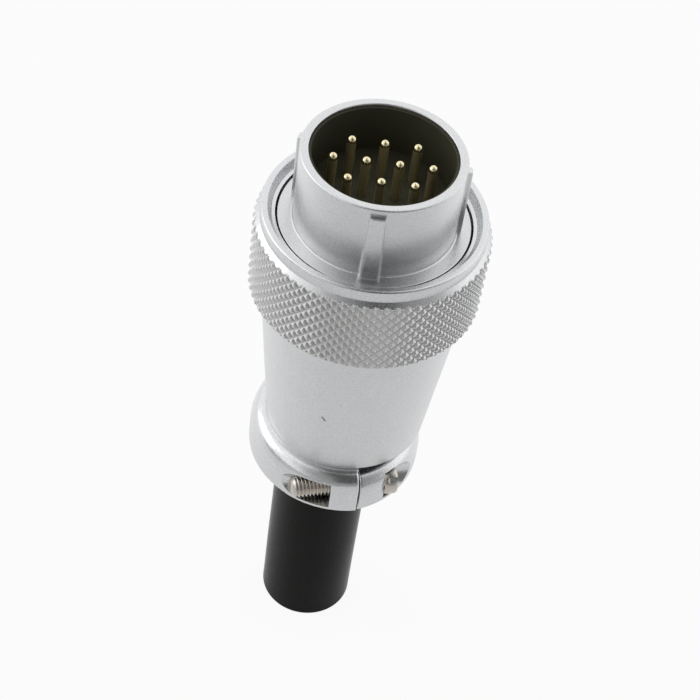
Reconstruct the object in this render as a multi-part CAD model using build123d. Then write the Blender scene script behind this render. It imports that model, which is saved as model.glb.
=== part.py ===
"""Cable plug of a ten-pole circular connector, standing on the flat end of its rubber sleeve.

Lengths are millimetres and +Z points towards the mating face. The origin lies on the axis of the metal
shell, in the plane that the plug stands on. The wide key faces -Y, which is the front.
"""
from build123d import *
from math import ceil, cos, pi, radians, sin, sqrt
import os

# Heights along the axis
sleeve_tail = 34.1
clamp_height = 6.45
housing_height = 29.35
flange_thickness = 2.0
barrel_height = 10.6

# Plug shell, each radius a step from its neighbour's
barrel_r = 10.2
barrel_wall = 1.1
barrel_foot_fillet = 0.3
flange_step = 1.9
neck_step = 0.9
thread_step = 0.7
thread_wall = 1.0
thread_length = 8.0
seat_depth = 9.7

# Keys on the barrel; the wide one at the front widens towards its foot
key_height = 0.6
key_setback = 0.95
main_key_top_width = 1.8
main_key_foot_width = 2.4
side_key_width = 1.1
side_key_angles = (-140, -103, 90, 145)

# Insulators and their spring ring
cup_setback = 0.4
cup_wall = 0.3
floor_depth = 6.9
front_base_thickness = 3.0
rear_disc_thickness = 3.5
ring_thickness = 1.0
ring_depth = 0.4
ring_width = 1.2
ring_opening_degrees = 40

# Contact pins
pin_pitch = 4.05
pin_r = 0.6
pin_setback = 1.05
pin_dome_share = 0.95
pin_collar_r = 1.0
pin_collar_thickness = 0.8
pin_tail_r = 0.9
pin_tail_length = 8.8
solder_cup_wall = 0.3
solder_cup_depth = 3.0
solder_notch_length = 2.1
solder_notch_offset = 0.18

# Coupling nut, each radius a step from its neighbour's
nut_travel = 3.0
nut_lip_thickness = 1.6
nut_skirt = 4.5
nut_head = 6.9
nut_thread_gap = 0.3
nut_relief_depth = 0.3
nut_relief_height = 1.4
nut_counterbore_step = 0.6
nut_counterbore_flare = 0.35
nut_counterbore_depth = 1.1
nut_rim_width = 0.85
nut_collar_height = 1.75
nut_edge = 0.15
knurl_step = 0.85
knurl_foot_chamfer = 0.55
knurl_count = 70
knurl_rise = 0.73
knurl_depth = 0.42
nut_skirt_wall = 1.4
nut_skirt_gap = 0.3
washer_thickness = 0.5
washer_gap = 0.4

# Tapered housing
housing_wall = 2.0
housing_floor = 4.25
housing_straight_height = 4.5
housing_edge = 0.3
foot_bead_width = 0.15
foot_bead_height = 0.4
thread_runout = 0.5
gasket_thickness = 1.0

# Rubber sleeve
sleeve_r = 6.65
sleeve_bore_r = 4.5
sleeve_inner_length = 9.25
sleeve_edge = 0.35
sleeve_room = 0.25

# Cable clamp: its split faces 15 degrees off the keys
clamp_turn = 15.0
clamp_closing = 2.0
clamp_edge = 0.3
shoulder_width = 2.0
shoulder_height = 3.0
split_gap = 0.2
saddle_step = 0.85
foot_relief = 0.6
saddle_web = 3.85
fixed_web = 3.9
screw_wall = 1.8
screw_r = 1.5
screw_length = 12.8
screw_tip_dome = 1.1
screw_head_r = 2.0
screw_head_height = 1.9
screw_head_edge = 0.5
screw_slot_width = 0.8
screw_slot_depth = 1.2
screw_slot_turn = -45.0
head_pocket_gap = 0.15
tip_pocket_gap = 0.7
tip_pocket_outset = 0.45

# Clearances
running_clearance = 0.08
fit_clearance = 0.03
end_clearance = 0.1
thread_clearance = 0.05
sleeve_clearance = 0.3

# How far a cut reaches past the face that it opens
past = 1.0

# Levels worked out from the sizes above
clamp_z = sleeve_tail
lip_z = clamp_z + clamp_height
housing_top_z = lip_z + housing_height
washer_z = housing_top_z + nut_lip_thickness
flange_z = washer_z + washer_thickness + nut_travel + end_clearance
barrel_z = flange_z + flange_thickness
rim_z = barrel_z + barrel_height
shell_end_z = housing_top_z - thread_length
seat_z = rim_z - seat_depth
floor_z = rim_z - floor_depth
front_end_z = seat_z - front_base_thickness
rear_end_z = front_end_z - rear_disc_thickness
nut_foot_z = housing_top_z - nut_skirt
nut_top_z = washer_z + nut_head
saddle_top_z = lip_z - saddle_step
screw_z = (clamp_z + saddle_top_z) / 2

# Radii worked out from the sizes above
flange_r = barrel_r + flange_step
neck_r = flange_r - neck_step
thread_r = neck_r - thread_step
front_bore_r = barrel_r - barrel_wall
rear_bore_r = thread_r - thread_wall
nut_thread_r = flange_r + nut_thread_gap
nut_relief_r = nut_thread_r + nut_relief_depth
nut_counterbore_r = nut_thread_r + nut_counterbore_step
nut_mouth_r = nut_counterbore_r + nut_counterbore_flare
nut_face_r = nut_mouth_r + nut_rim_width
knurl_r = nut_face_r + knurl_step
skirt_bore_r = knurl_r - nut_skirt_wall
washer_r = nut_relief_r - washer_gap
housing_top_r = skirt_bore_r - nut_skirt_gap
cavity_foot_r = sleeve_r + clamp_closing + sleeve_room
housing_foot_r = cavity_foot_r + housing_wall
clamp_r = housing_foot_r + shoulder_width
screw_offset = sleeve_r + screw_wall + screw_r
head_pocket_r = screw_head_r + head_pocket_gap
tip_pocket_r = screw_r + tip_pocket_gap


def rod(r, low_z, high_z, x=0.0, y=0.0):
    """A round rod between two levels."""
    return Pos(x, y, low_z) * Cylinder(r, high_z - low_z, align=(Align.CENTER, Align.CENTER, Align.MIN))


def tube(outer_r, inner_r, low_z, high_z):
    """A round wall between two levels."""
    return rod(outer_r, low_z, high_z) - rod(inner_r, low_z - past, high_z + past)


def turned(*outline):
    """A solid turned from a closed outline of (radius, height) points."""
    return revolve(Plane.XZ * make_face(Polyline(*outline, close=True)), axis=Axis.Z)


def pin_places():
    """The pins' centres: rows of three, four and three on a triangular grid."""
    row_gap = pin_pitch * sqrt(3) / 2
    rows = ((row_gap, 3), (0.0, 4), (-row_gap, 3))
    return [((i - (count - 1) / 2) * pin_pitch, y) for y, count in rows for i in range(count)]


def key(angle, top_width, foot_width):
    """A raised key on the barrel, from the flange to just short of the rim."""
    top_z = rim_z - key_setback
    side = Polyline((-foot_width / 2, barrel_z), (foot_width / 2, barrel_z),
                    (top_width / 2, top_z), (-top_width / 2, top_z), close=True)
    slab = extrude(Plane.XZ * make_face(side), amount=barrel_r + key_height + past)
    band = tube(barrel_r + key_height, barrel_r - barrel_wall / 2, barrel_z, top_z)
    return Rot(0, 0, angle) * (slab & band)


def plug_shell():
    """Barrel with its keys, flange, guide neck and rear thread, cast in one piece."""
    body = turned((0, shell_end_z), (thread_r, shell_end_z), (thread_r, housing_top_z),
                  (neck_r, housing_top_z), (neck_r, flange_z), (flange_r, flange_z),
                  (flange_r, barrel_z), (barrel_r, barrel_z), (barrel_r, rim_z), (0, rim_z))
    rings = body.edges().filter_by(GeomType.CIRCLE)
    barrel_rings = rings.filter_by(lambda e: abs(e.radius - barrel_r) < end_clearance)
    body = fillet(barrel_rings.sort_by(Axis.Z)[0], barrel_foot_fillet)
    body += key(0, main_key_top_width, main_key_foot_width)
    for angle in side_key_angles:
        body += key(angle, side_key_width, side_key_width)
    body -= rod(front_bore_r, seat_z - past, rim_z + past)
    body -= rod(rear_bore_r, shell_end_z - past, seat_z)
    groove_low = rear_end_z - ring_thickness - end_clearance
    body -= rod(rear_bore_r + ring_depth + thread_clearance, groove_low, rear_end_z)
    return body


def front_insulator():
    """Cup that lines the barrel, with a thick floor that the pins stand in."""
    cup_r = front_bore_r - fit_clearance
    body = rod(cup_r, seat_z, rim_z - cup_setback)
    body += rod(rear_bore_r - fit_clearance, front_end_z, seat_z)
    body -= rod(cup_r - cup_wall, floor_z, rim_z)
    for x, y in pin_places():
        body -= rod(pin_r + fit_clearance, front_end_z - past, floor_z + past, x, y)
    return body


def rear_insulator():
    """Disc that traps the pins' collars behind the front insulator."""
    body = rod(rear_bore_r - fit_clearance, rear_end_z, front_end_z)
    for x, y in pin_places():
        body -= rod(pin_tail_r + fit_clearance, rear_end_z - past, front_end_z + past, x, y)
        collar_z = front_end_z - pin_collar_thickness
        body -= rod(pin_collar_r + fit_clearance, collar_z, front_end_z + past, x, y)
    return body


def insulator_ring():
    """Open spring ring in the shell's groove, under the rear insulator."""
    outer_r = rear_bore_r + ring_depth
    top_z = rear_end_z - end_clearance / 2
    low_z = top_z - ring_thickness
    body = tube(outer_r, outer_r - ring_width, low_z, top_z)
    half = radians(ring_opening_degrees / 2)
    across = (outer_r + past) * sin(half)
    along = (outer_r + past) * cos(half)
    gap = make_face(Polyline((0, 0), (-across, along), (across, along), close=True))
    return body - Pos(0, 0, low_z - past) * extrude(gap, amount=ring_thickness + 2 * past)


def contact_pin(x, y):
    """Turned pin: domed tip, locking collar, tail and an open solder cup."""
    collar_z = front_end_z - pin_collar_thickness
    tail_z = collar_z - pin_tail_length
    body = rod(pin_r, front_end_z, rim_z - pin_setback)
    body = fillet(body.edges().sort_by(Axis.Z)[-1], pin_r * pin_dome_share)
    body += rod(pin_collar_r, collar_z, front_end_z)
    body += rod(pin_tail_r, tail_z, collar_z)
    body -= rod(pin_tail_r - solder_cup_wall, tail_z - past, tail_z + solder_cup_depth)
    notch = Box(2 * pin_tail_r + past, pin_tail_r + past, solder_notch_length + past,
                align=(Align.CENTER, Align.MAX, Align.MIN))
    body -= Pos(0, -solder_notch_offset, tail_z - past) * notch
    return Pos(x, y, 0) * body


def knurl_point(row, column):
    """A corner of the knurl: a crest and a crossing of two grooves take turns along rows and columns."""
    r = knurl_r if (row + column) % 2 else knurl_r - knurl_depth
    turn = pi * column / knurl_count
    return r * cos(turn), r * sin(turn), nut_foot_z + row * knurl_rise


def knurl_stock():
    """Bar with a low pyramid on each crest, longer than the nut at both ends."""
    first_row = -ceil(past / knurl_rise)
    last_row = ceil((nut_top_z - nut_foot_z + past) / knurl_rise)
    columns = 2 * knurl_count
    sides = []
    for row in range(first_row, last_row):
        for column in range(columns):
            low, low_next = knurl_point(row, column), knurl_point(row, column + 1)
            high, high_next = knurl_point(row + 1, column), knurl_point(row + 1, column + 1)
            if (row + column) % 2:
                sides += [(low, low_next, high), (low_next, high_next, high)]
            else:
                sides += [(low, low_next, high_next), (low, high_next, high)]
    ends = [[knurl_point(row, column) for column in range(columns)] for row in (first_row, last_row)]
    return Solid(Shell([Face(Wire.make_polygon(corners, close=True)) for corners in sides + ends]))


def coupling_nut():
    """Knurled nut: flared mouth, inner thread, inner lip and a skirt over the housing."""
    band_top_z = nut_top_z - nut_collar_height
    lip_bore_r = neck_r + running_clearance
    relief_z = washer_z + nut_relief_height
    thread_top_z = nut_top_z - nut_counterbore_depth
    blank_r = knurl_r + past
    blank = turned((lip_bore_r, housing_top_z), (skirt_bore_r, housing_top_z), (skirt_bore_r, nut_foot_z),
                   (knurl_r - knurl_foot_chamfer, nut_foot_z),
                   (blank_r, nut_foot_z + knurl_foot_chamfer + past),
                   (blank_r, band_top_z - knurl_step - past), (nut_face_r, band_top_z),
                   (nut_face_r, nut_top_z - nut_edge), (nut_face_r - nut_edge, nut_top_z),
                   (nut_mouth_r, nut_top_z), (nut_counterbore_r, thread_top_z),
                   (nut_thread_r, thread_top_z), (nut_thread_r, relief_z),
                   (nut_relief_r, relief_z), (nut_relief_r, washer_z), (lip_bore_r, washer_z))
    return blank & knurl_stock()


def nut_washer():
    """Thin sliding washer that the nut's lip carries up to the flange."""
    return tube(washer_r, neck_r + running_clearance, washer_z, washer_z + washer_thickness)


def shell_gasket():
    """Rubber ring between the neck's shoulder and the housing."""
    return tube(neck_r - thread_clearance, thread_r + thread_clearance,
                housing_top_z - gasket_thickness, housing_top_z)


def clamp_half(top_z, centre_x, side):
    """One half of the clamp's ring with its rounded shoulder, on one side of the split."""
    shoulder_z = top_z - shoulder_height
    edges = [
        Line((0, clamp_z), (clamp_r, clamp_z)),
        Line((clamp_r, clamp_z), (clamp_r, shoulder_z)),
        EllipticalCenterArc((housing_foot_r, shoulder_z), shoulder_width, shoulder_height, 0, arc_size=90),
        Line((housing_foot_r, top_z), (0, top_z)),
        Line((0, top_z), (0, clamp_z)),
    ]
    ring = revolve(Plane.XZ * make_face(edges), axis=Axis.Z)
    reach = clamp_r + clamp_closing + past
    beside_split = Box(reach, 2 * reach, clamp_height + 2 * past,
                       align=(Align.MIN if side > 0 else Align.MAX, Align.CENTER, Align.MIN))
    split_x = side * split_gap / 2
    half = (Pos(centre_x, 0, 0) * ring) & (Pos(split_x, 0, clamp_z - past) * beside_split)
    outer = half.edges().filter_by(lambda e: e.bounding_box().max.Z < shoulder_z + end_clearance)
    corners = outer.filter_by(Axis.Z) + outer.filter_by(GeomType.CIRCLE).sort_by(Axis.Z)[:1]
    return fillet(corners, clamp_edge)


def along_split(r, from_x, to_x, side, outset=0.0):
    """A rod across the split, in the line of the screw on one side of the clamp or just outside it."""
    body = Rot(0, 90, 0) * Cylinder(r, to_x - from_x, align=(Align.CENTER, Align.CENTER, Align.MIN))
    return Pos(from_x, side * (screw_offset + outset), screw_z) * body


def pocket(r, from_x, to_x, side, outset=0.0):
    """A round-bottomed pocket about a screw's line, open to the outside of the clamp."""
    open_side = Box(to_x - from_x, clamp_r, 2 * r,
                    align=(Align.MIN, Align.MIN if side > 0 else Align.MAX, Align.CENTER))
    opening = Pos(from_x, side * (screw_offset + outset), screw_z) * open_side
    return along_split(r, from_x, to_x, side, outset) + opening


def sleeve_channel():
    """Round-bottomed channel that the sleeve lies in, open towards the saddle."""
    r = sleeve_r + fit_clearance
    low_z = clamp_z - past
    straight = Box(clamp_r, 2 * r, clamp_height + past, align=(Align.MIN, Align.CENTER, Align.MIN))
    return rod(r, low_z, lip_z, -clamp_closing) + Pos(-clamp_closing, 0, low_z) * straight


def back_shell():
    """Tapered housing with the fixed half of the clamp cast on its foot, below a narrow bead."""
    straight_z = housing_top_z - housing_straight_height
    cavity_z = lip_z + housing_floor
    bore_r = thread_r + thread_clearance
    gasket_z = housing_top_z - gasket_thickness
    bead_r = housing_foot_r + foot_bead_width
    bead_top_z = lip_z + foot_bead_height
    housing = turned((0, lip_z), (bead_r, lip_z), (bead_r, bead_top_z), (housing_foot_r, bead_top_z),
                     (housing_top_r, straight_z),
                     (housing_top_r, housing_top_z - housing_edge),
                     (housing_top_r - housing_edge, housing_top_z), (0, housing_top_z))
    half = clamp_half(lip_z, 0, -1) - sleeve_channel()
    for side in (-1, 1):
        half -= along_split(screw_r + thread_clearance, -clamp_r, past, side)
        half -= pocket(tip_pocket_r, -clamp_r - past, -fixed_web, side, tip_pocket_outset)
    housing += half
    housing -= turned((0, cavity_z), (cavity_foot_r, cavity_z), (bore_r, shell_end_z - thread_runout),
                      (bore_r, gasket_z), (neck_r, gasket_z), (neck_r, housing_top_z + past),
                      (0, housing_top_z + past))
    housing -= rod(sleeve_r + fit_clearance, lip_z - past, cavity_z + past, -clamp_closing)
    relief = Box(clamp_r, 2 * clamp_r, foot_relief + past, align=(Align.MIN, Align.CENTER, Align.MIN))
    housing -= Pos(-split_gap / 2, 0, lip_z - past) * relief
    return Rot(0, 0, clamp_turn) * housing


def clamp_saddle():
    """Loose half of the clamp, drawn in against the sleeve by the two screws."""
    saddle = clamp_half(saddle_top_z, -clamp_closing, 1)
    saddle -= rod(sleeve_r + sleeve_clearance, clamp_z - past, lip_z, -clamp_closing)
    for side in (-1, 1):
        saddle -= along_split(screw_r + 2 * thread_clearance, 0, clamp_r, side)
        saddle -= pocket(head_pocket_r, saddle_web, clamp_r, side)
    return Rot(0, 0, clamp_turn) * saddle


def clamp_screw(side):
    """Slotted screw across the clamp's split, with its head in the saddle's pocket."""
    head = Cylinder(screw_head_r, screw_head_height, align=(Align.CENTER, Align.CENTER, Align.MIN))
    head = fillet(head.edges().sort_by(Axis.Z)[-1], screw_head_edge)
    slot = Box(screw_slot_width, 2 * screw_head_r + past, screw_slot_depth,
               align=(Align.CENTER, Align.CENTER, Align.MAX))
    head -= Rot(0, 0, screw_slot_turn) * Pos(0, 0, screw_head_height) * slot
    shank = Cylinder(screw_r, screw_length, align=(Align.CENTER, Align.CENTER, Align.MAX))
    shank = fillet(shank.edges().sort_by(Axis.Z)[0], screw_tip_dome)
    screw = Rot(0, 90, 0) * (head + shank)
    return Rot(0, 0, clamp_turn) * Pos(saddle_web, side * screw_offset, screw_z) * screw


def cable_sleeve():
    """Rubber sleeve from inside the housing, through the clamp, to the plane it stands on."""
    top_z = lip_z + sleeve_inner_length
    body = rod(sleeve_r, 0, top_z)
    ends = body.edges().filter_by(GeomType.CIRCLE).sort_by(Axis.Z)
    body = fillet([ends[0], ends[-1]], sleeve_edge)
    body -= rod(sleeve_bore_r, -past, top_z + past)
    return Rot(0, 0, clamp_turn) * Pos(-clamp_closing, 0, 0) * body


def main():
    """Builds every piece and writes each to its own file."""
    parts = {
        "plug_shell": plug_shell(),
        "coupling_nut": coupling_nut(),
        "nut_washer": nut_washer(),
        "front_insulator": front_insulator(),
        "rear_insulator": rear_insulator(),
        "insulator_ring": insulator_ring(),
        "shell_gasket": shell_gasket(),
        "back_shell": back_shell(),
        "clamp_saddle": clamp_saddle(),
        "clamp_screw_front": clamp_screw(-1),
        "clamp_screw_rear": clamp_screw(1),
        "cable_sleeve": cable_sleeve(),
    }
    for number, (x, y) in enumerate(pin_places(), start=1):
        parts[f"contact_pin_{number:02d}"] = contact_pin(x, y)
    os.makedirs("parts", exist_ok=True)
    for name, solid in parts.items():
        export_step(solid, f"parts/{name}.step")


main()
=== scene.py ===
# %% [markdown]
# # A cable plug in satin metal
# The object is the cable half of a round connector. A keyed metal barrel holds ten gold pins in a black
# cup. A knurled nut turns round it, and below the nut a tapered housing ends in a clamp that two screws
# draw against a rubber sleeve. The solids come from the construction model, so this file only makes
# surfaces: it dresses the solids whose form is complete, and rebuilds the others finely enough for a near
# view.

# %% Load the fixed frame
from math import cos, pi, radians, sin
import bpy
import numpy as np
from mathutils import Matrix, Vector


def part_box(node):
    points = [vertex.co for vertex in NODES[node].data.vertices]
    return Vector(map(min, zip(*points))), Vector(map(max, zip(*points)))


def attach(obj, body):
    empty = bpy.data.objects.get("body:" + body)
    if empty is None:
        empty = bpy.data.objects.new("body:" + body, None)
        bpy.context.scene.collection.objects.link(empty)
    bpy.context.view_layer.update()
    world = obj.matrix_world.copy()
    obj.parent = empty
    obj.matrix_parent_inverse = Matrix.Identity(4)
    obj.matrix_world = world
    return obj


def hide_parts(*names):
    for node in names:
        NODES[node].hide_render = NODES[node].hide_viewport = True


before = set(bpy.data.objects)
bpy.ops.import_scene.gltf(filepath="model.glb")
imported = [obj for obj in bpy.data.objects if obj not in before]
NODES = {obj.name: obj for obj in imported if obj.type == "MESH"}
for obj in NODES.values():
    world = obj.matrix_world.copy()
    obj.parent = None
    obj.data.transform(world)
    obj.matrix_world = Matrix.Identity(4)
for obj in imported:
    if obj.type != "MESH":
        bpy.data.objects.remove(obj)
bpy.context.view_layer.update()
MM = 0.001


def span(node):
    """Lowest and highest corner of a solid, in millimetres."""
    low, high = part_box(node)
    return np.array(low) / MM, np.array(high) / MM


# %% [markdown]
# ## Where the camera stands
# A picture of a turned object gives its own camera away: each ring is seen as an ellipse, and the ellipses
# of the rim, the nut and the clamp have one eye point in common. It could be found by trial, but fitting
# the rings gives the distance too, which sets how fast they shrink towards the sleeve. The place is kept
# here as a distance and two angles from the rim's centre, with a small roll, because the plug leans in the
# frame.

# %% Camera
RIM_Z = span("plug_shell")[1][2]
CAMERA_DISTANCE = 205.2
CAMERA_AZIMUTH = -2.23
CAMERA_ELEVATION = 40.48
CAMERA_ROLL = 8.84
CAMERA_LENS = 88.06
AIM = Vector((-0.5, 0.0, 52.73))


def direction(azimuth, elevation):
    """Unit vector at degrees from the front (-Y), positive towards +X, and degrees above level."""
    turn, rise = radians(azimuth), radians(elevation)
    return Vector((sin(turn) * cos(rise), -cos(turn) * cos(rise), sin(rise)))


def aimed(place, target, roll=0.0):
    """Matrix of something at a place in millimetres whose -Z looks at a target, rolled about that line."""
    back = (place - target).normalized()
    level = Vector((0, 0, 1)).cross(back).normalized()
    right = cos(roll) * level + sin(roll) * back.cross(level)
    turn = Matrix((right, back.cross(right), back)).transposed().to_4x4()
    return Matrix.Translation(place * MM) @ turn


def add_camera():
    """The camera at the photo's angle, with no depth of field and no shift."""
    data = bpy.data.cameras.new("camera")
    data.lens = CAMERA_LENS
    data.clip_start = 0.01
    made = bpy.data.objects.new("camera", data)
    bpy.context.scene.collection.objects.link(made)
    place = Vector((0, 0, RIM_Z)) + CAMERA_DISTANCE * direction(CAMERA_AZIMUTH, CAMERA_ELEVATION)
    made.matrix_world = aimed(place, AIM, radians(CAMERA_ROLL))
    bpy.context.scene.camera = made
    return made


camera = add_camera()
print("camera at", [round(v / MM, 1) for v in camera.matrix_world.translation])

# %% [markdown]
# ## Wiring nodes from a script
# A material can be drawn by hand in the node editor, but a script repeats it and names each value. A few
# small helpers keep that readable: one adds a node and fills its inputs, and the rest do sums, split a place
# into its parts, carry a value from one range to another, and blend colours.

# %% Node helpers
def add_node(tree, kind, inputs=None, **settings):
    """Adds a node, sets its properties, and fills inputs with values or links them to sockets."""
    made = tree.nodes.new(kind)
    for name, value in settings.items():
        setattr(made, name, value)
    for name, value in (inputs or {}).items():
        if isinstance(value, bpy.types.NodeSocket):
            tree.links.new(value, made.inputs[name])
        else:
            made.inputs[name].default_value = value
    return made


def sum_of(tree, operation, a, b=0.0, clamp=False):
    """Output of a Math node."""
    return add_node(tree, "ShaderNodeMath", {0: a, 1: b}, operation=operation, use_clamp=clamp).outputs[0]


def product(tree, a, b):
    """Product of two values."""
    return sum_of(tree, "MULTIPLY", a, b)


def vector_sum(tree, operation, a, b=(0.0, 0.0, 0.0)):
    """Outputs of a Vector Math node: 0 is its vector, and Value its number."""
    return add_node(tree, "ShaderNodeVectorMath", {0: a, 1: b}, operation=operation).outputs


def parts_of(tree, place):
    """The x, y and z of a place or direction."""
    return add_node(tree, "ShaderNodeSeparateXYZ", {0: place}).outputs


def ramp(tree, value, low, high, to_low=0.0, to_high=1.0):
    """Value carried smoothly from one range to another."""
    return add_node(tree, "ShaderNodeMapRange", {0: value, 1: low, 2: high, 3: to_low, 4: to_high},
                    interpolation_type="SMOOTHSTEP").outputs[0]


def blend_colors(tree, share, a, b):
    """Mix of two colours by a share."""
    made = add_node(tree, "ShaderNodeMix", data_type="RGBA")
    for socket, value in zip((made.inputs[0], made.inputs[6], made.inputs[7]), (share, a, b)):
        if isinstance(value, bpy.types.NodeSocket):
            tree.links.new(value, socket)
        else:
            socket.default_value = value
    return made.outputs[2]


def grey(value, warmth=0.0):
    """Opaque grey, a little warmer or cooler."""
    return (value * (1 + warmth), value, value * (1 - warmth), 1)


print("node helpers ready")

# %% [markdown]
# ## A light tent
# Bright metal shows what stands round it, so its light is built as a small room. The photo's plug stands on
# a white table between two soft boxes, with a white wall behind. The room's shaded side is in front, where
# a dark band leans upward from the table. A narrow dark gap runs overhead, between the boxes, and it is dim
# under them. The room could be modelled with cards, but a world colour that changes with direction does the
# same without standing in the way of other views. The camera itself sees white where it would look past the
# floor. In mirrors the table glows with painted light, brightest behind the plug, where the wall would light
# it.

# %% The room as a world colour
WALL, LOW_SIDE = 1.05, 0.50
LOW_FROM, LOW_TO = 0.22, 0.12
LOW_BEHIND, LOW_AHEAD = 0.15, -0.10
SHADE, SHADE_AT = 0.33, (20.0, 35.0)
SHADE_FROM, SHADE_TO = 0.38, 0.88
BAND, BAND_LEAN = 0.10, 0.27
BAND_EDGE, BAND_CORE = 0.38, 0.14
BAND_FOOT, BAND_FULL = 0.14, 0.30
BAND_BESIDE, BAND_AHEAD = -0.05, -0.30
OVERHEAD_EDGE, OVERHEAD_CORE = 0.15, 0.05
OVERHEAD_LOW, OVERHEAD_HIGH = 0.76, 0.88


def near_direction(tree, look, azimuth, elevation, far, near):
    """Share that rises from 0 to 1 as the looked-at direction nears a given one."""
    aim = tuple(direction(azimuth, elevation))
    return ramp(tree, vector_sum(tree, "DOT_PRODUCT", look, aim)["Value"], far, near)


def room_light(world):
    """White walls, dimmer low and in front, dark ahead and overhead, and white for the camera's own rays."""
    world.use_nodes = True
    tree = world.node_tree
    background = tree.nodes["Background"]
    look = add_node(tree, "ShaderNodeTexCoord").outputs["Generated"]
    x, y, z = parts_of(tree, look)
    low = product(tree, ramp(tree, sum_of(tree, "ABSOLUTE", z), LOW_FROM, LOW_TO),
                  ramp(tree, y, LOW_BEHIND, LOW_AHEAD))
    room = blend_colors(tree, low, grey(WALL), grey(LOW_SIDE))
    shaded = near_direction(tree, look, *SHADE_AT, SHADE_FROM, SHADE_TO)
    room = blend_colors(tree, shaded, room, grey(SHADE))
    aside = sum_of(tree, "ABSOLUTE", sum_of(tree, "ADD", x, product(tree, y, BAND_LEAN)))
    band = product(tree, ramp(tree, aside, BAND_EDGE, BAND_CORE), ramp(tree, z, BAND_FOOT, BAND_FULL))
    band = product(tree, band, ramp(tree, y, BAND_BESIDE, BAND_AHEAD))
    room = blend_colors(tree, band, room, grey(BAND))
    overhead = product(tree, ramp(tree, sum_of(tree, "ABSOLUTE", x), OVERHEAD_EDGE, OVERHEAD_CORE),
                       ramp(tree, z, OVERHEAD_LOW, OVERHEAD_HIGH))
    room = blend_colors(tree, overhead, room, grey(BAND))
    direct = add_node(tree, "ShaderNodeLightPath").outputs["Is Camera Ray"]
    seen = blend_colors(tree, direct, room, grey(1.0))
    tree.links.new(seen, background.inputs["Color"])
    background.inputs["Strength"].default_value = 1.0


bpy.context.scene.world = bpy.data.worlds.new("light_tent")
room_light(bpy.context.scene.world)
print("wall", WALL, "shaded side", SHADE, "dark band", BAND)

# %% Soft boxes and table
FLOOR_SIZE, FLOOR_GREY = 1.6, 0.78
FLOOR_SEEN = 0.92
FLOOR_FRONT, FLOOR_BACK, FLOOR_TURN = 0.18, 1.0, 0.09
FLOOR_NEAR, FLOOR_FAR, FLOOR_DIM = 0.12, 0.30, 0.75
SOFT_BOXES = (("left", -100, 24, 0.80), ("right", 104, 26, 0.12))
BOX_DISTANCE, BOX_SIZE, BOX_AIM_Z = 420.0, 300.0, 60.0


def soft_box(name, azimuth, elevation, radiance):
    """Square lamp that looks at the plug, as bright as its radiance says."""
    data = bpy.data.lights.new("soft_box_" + name, "AREA")
    data.size = BOX_SIZE * MM
    data.energy = radiance * pi * data.size ** 2
    made = bpy.data.objects.new(data.name, data)
    bpy.context.scene.collection.objects.link(made)
    target = Vector((0, 0, BOX_AIM_Z))
    made.matrix_world = aimed(target + BOX_DISTANCE * direction(azimuth, elevation), target)
    made.visible_camera = False
    return made


def studio_floor():
    """Pale square under the plug, which glows where the camera or a mirror sees it; the glow in mirrors is
    painted light, most behind it.
    """
    mesh = bpy.data.meshes.new("floor")
    half = FLOOR_SIZE / 2
    corners = [(-half, -half, 0), (half, -half, 0), (half, half, 0), (-half, half, 0)]
    mesh.from_pydata(corners, [], [(0, 1, 2, 3)])
    made = bpy.data.objects.new("floor", mesh)
    bpy.context.scene.collection.objects.link(made)
    material = bpy.data.materials.new("pale_floor")
    material.use_nodes = True
    tree = material.node_tree
    shader = tree.nodes["Principled BSDF"]
    shader.inputs["Base Color"].default_value = grey(FLOOR_GREY)
    shader.inputs["Roughness"].default_value = 0.9
    shader.inputs["Specular IOR Level"].default_value = 0.1
    paths = add_node(tree, "ShaderNodeLightPath")
    seen = product(tree, paths.outputs["Is Camera Ray"], FLOOR_SEEN)
    place = add_node(tree, "ShaderNodeTexCoord").outputs["Object"]
    y, away = parts_of(tree, place)[1], vector_sum(tree, "LENGTH", place)["Value"]
    # Painted light: in mirrors the table glows most behind the plug, and less in front and far off.
    painted_table_light = product(tree, ramp(tree, y, -FLOOR_TURN, FLOOR_TURN, FLOOR_FRONT, FLOOR_BACK),
                  ramp(tree, away, FLOOR_FAR, FLOOR_NEAR, FLOOR_DIM, 1.0))
    mirrored = product(tree, paths.outputs["Is Glossy Ray"], painted_table_light)
    glow = add_node(tree, "ShaderNodeEmission", {"Color": grey(1.0), "Strength": 1.0})
    both = add_node(tree, "ShaderNodeMixShader", {0: sum_of(tree, "MAXIMUM", seen, mirrored),
                                                  1: shader.outputs[0], 2: glow.outputs[0]})
    tree.links.new(both.outputs[0], tree.nodes["Material Output"].inputs["Surface"])
    mesh.materials.append(material)
    return made


lamps = [soft_box(*box) for box in SOFT_BOXES]
studio_floor()
bpy.context.scene.view_settings.view_transform = "Standard"
print("soft boxes", [lamp.name for lamp in lamps])

# %% [markdown]
# ## Effects that several finishes share
# Plating isn't perfectly smooth: it has a fine grain, and casting leaves small pits under it. Handling adds
# a few dark specks. Each effect is a node group, so that every metal places the same effect with values of
# its own. A painted texture would need an unwrapped mesh, and it would blur when seen from near. Noise on
# Object coordinates has neither fault, because each solid's place is in its mesh.

# %% Making and placing a group
def new_group(name, inputs, outputs):
    """Empty shader group with named values in and out."""
    group = bpy.data.node_groups.new(name, "ShaderNodeTree")
    for label, default in inputs.items():
        kind = "NodeSocketVector" if default is None else "NodeSocketFloat"
        socket = group.interface.new_socket(label, in_out="INPUT", socket_type=kind)
        if default is not None:
            socket.default_value = default
    for label in outputs:
        group.interface.new_socket(label, in_out="OUTPUT", socket_type="NodeSocketFloat")
    return group, group.nodes.new("NodeGroupInput").outputs, group.nodes.new("NodeGroupOutput").inputs


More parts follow.
